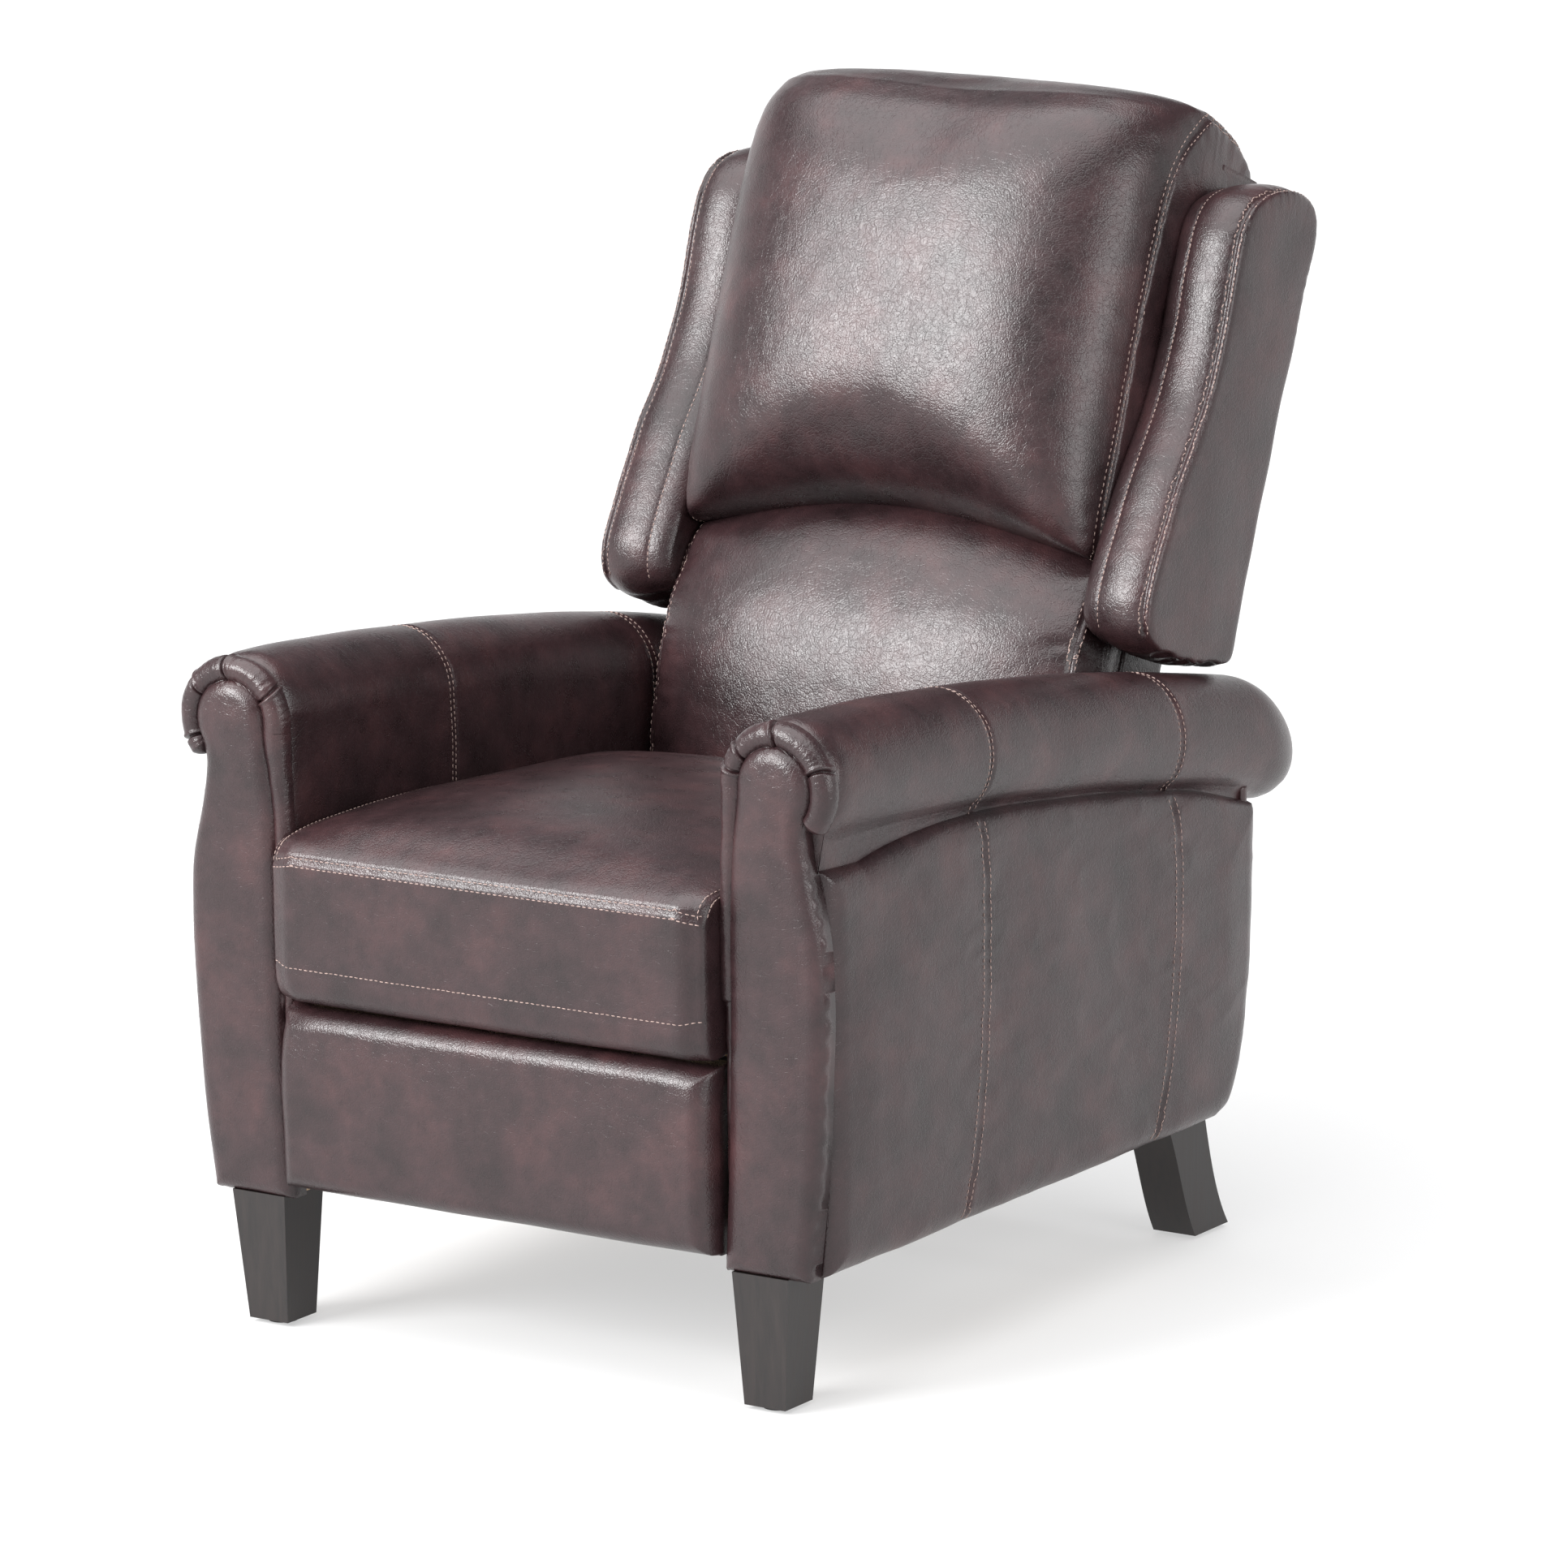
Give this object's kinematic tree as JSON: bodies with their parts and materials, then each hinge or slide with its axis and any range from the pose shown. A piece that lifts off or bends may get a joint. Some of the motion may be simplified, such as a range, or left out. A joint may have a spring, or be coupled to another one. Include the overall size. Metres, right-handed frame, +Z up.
{
  "type": "recliner armchair",
  "caption": "Push-back recliner armchair with rolled arms, padded wings, an overhanging head cushion and a footrest that swings out.",
  "frame": {"origin": "on the floor, in the middle of the chair's width and depth", "axes": "+X to the sitter's left, -Y the way the chair faces, +Z up"},
  "size_m": [0.712, 0.9707, 1.1025],
  "materials": {
    "leather": "semi-gloss pebbled, dark espresso brown",
    "dark_wood": "satin dark stain",
    "frame_wood": "bare sawn",
    "black_steel": "satin black paint",
    "zinc_steel": "zinc plated",
    "spring_steel": "drawn wire",
    "glide_plastic": "matt black"
  },
  "bodies": {
    "base": {"arm_roll_left": "leather", "arm_roll_right": "leather", "arm_outer_panel_left": "leather", "arm_outer_panel_right": "leather", "arm_inner_panel_left": "leather", "arm_inner_panel_right": "leather", "arm_rear_panel_left": "leather", "arm_rear_panel_right": "leather", "arm_front_panel_left": "leather", "arm_front_panel_right": "leather", "arm_ruched_border_left": "leather", "arm_ruched_border_right": "leather", "front_leg_left": "dark_wood", "front_leg_right": "dark_wood", "rear_leg_left": "dark_wood", "rear_leg_right": "dark_wood", "arm_posts": "frame_wood", "arm_top_rails": "frame_wood", "arm_bottom_rails": "frame_wood", "leg_glides": "glide_plastic", "leg_bolts": "zinc_steel", "rear_rail": "frame_wood", "rear_dust_panel": "dark_wood", "rear_apron": "leather", "base_angles": "black_steel", "base_bolts": "zinc_steel", "base_tubes": "black_steel", "base_link_plates": "black_steel", "base_link_pins": "zinc_steel", "back_pivot_brackets": "black_steel", "back_pivot_pins": "zinc_steel"},
    "front_swing": {"front_swing_links": "black_steel", "front_swing_tube": "black_steel"},
    "rear_swing": {"rear_swing_links": "black_steel", "rear_swing_tube": "black_steel"},
    "seat_carriage": {"carriage_plates": "black_steel", "carriage_pins": "zinc_steel", "seat_side_rails": "frame_wood", "seat_cross_rails": "frame_wood", "seat_springs": "spring_steel", "seat_cushion": "leather"},
    "footrest_rear_arms": {"footrest_rear_links": "black_steel", "footrest_rear_tube": "black_steel", "footrest_knee_pins": "zinc_steel"},
    "footrest_front_arms": {"footrest_front_links": "black_steel", "footrest_front_tube": "black_steel", "footrest_board_pins": "zinc_steel"},
    "footrest": {"footrest_brackets": "black_steel", "footrest_board": "frame_wood", "footrest_pad": "leather"},
    "back": {"wing_pad_left": "leather", "wing_pad_right": "leather", "back_posts": "frame_wood", "back_rails": "frame_wood", "back_springs": "spring_steel", "back_hinge_plates": "black_steel", "outside_back_panel": "leather", "wing_boards": "frame_wood", "lumbar_cushion": "leather", "head_cushion": "leather"}
  },
  "joints": [
    {"name": "back_recline", "type": "hinge", "parent": "base", "child": "back", "pos_m": [0, 0.243, 0.3], "axis": [-1, 0, 0], "range_deg": [0, 25]},
    {"name": "rear_swing_pivot", "type": "hinge", "parent": "base", "child": "rear_swing", "pos_m": [0, 0.053, 0.18], "axis": [1, 0, 0], "range_deg": [0, 30]},
    {"name": "front_swing_pivot", "type": "hinge", "parent": "base", "child": "front_swing", "pos_m": [0, -0.207, 0.18], "axis": [1, 0, 0], "range_deg": [0, 30]},
    {"name": "carriage_pivot", "type": "hinge", "parent": "rear_swing", "child": "seat_carriage", "pos_m": [0, 0.10431, 0.29003], "axis": [-1, 0, 0], "range_deg": [0, 30]},
    {"name": "footrest_rear_pivot", "type": "hinge", "parent": "seat_carriage", "child": "footrest_rear_arms", "pos_m": [0, -0.367, 0.3], "axis": [-1, 0, 0], "range_deg": [0, 93.75]},
    {"name": "footrest_knee_pivot", "type": "hinge", "parent": "footrest_rear_arms", "child": "footrest_front_arms", "pos_m": [0, -0.2615, 0.1419], "axis": [1, 0, 0], "range_deg": [0, 76.25]},
    {"name": "footrest_board_pivot", "type": "hinge", "parent": "footrest_front_arms", "child": "footrest", "pos_m": [0, -0.427, 0.235], "axis": [-1, 0, 0], "range_deg": [0, 72.5]}
  ],
  "couplings": [
    {"joint": "rear_swing_pivot", "follows": "back_recline", "ratio": 1.2},
    {"joint": "front_swing_pivot", "follows": "back_recline", "ratio": 1.2},
    {"joint": "carriage_pivot", "follows": "back_recline", "ratio": 1.2},
    {"joint": "footrest_rear_pivot", "follows": "back_recline", "ratio": 3.75},
    {"joint": "footrest_knee_pivot", "follows": "back_recline", "ratio": 3.05},
    {"joint": "footrest_board_pivot", "follows": "back_recline", "ratio": 2.9}
  ]
}
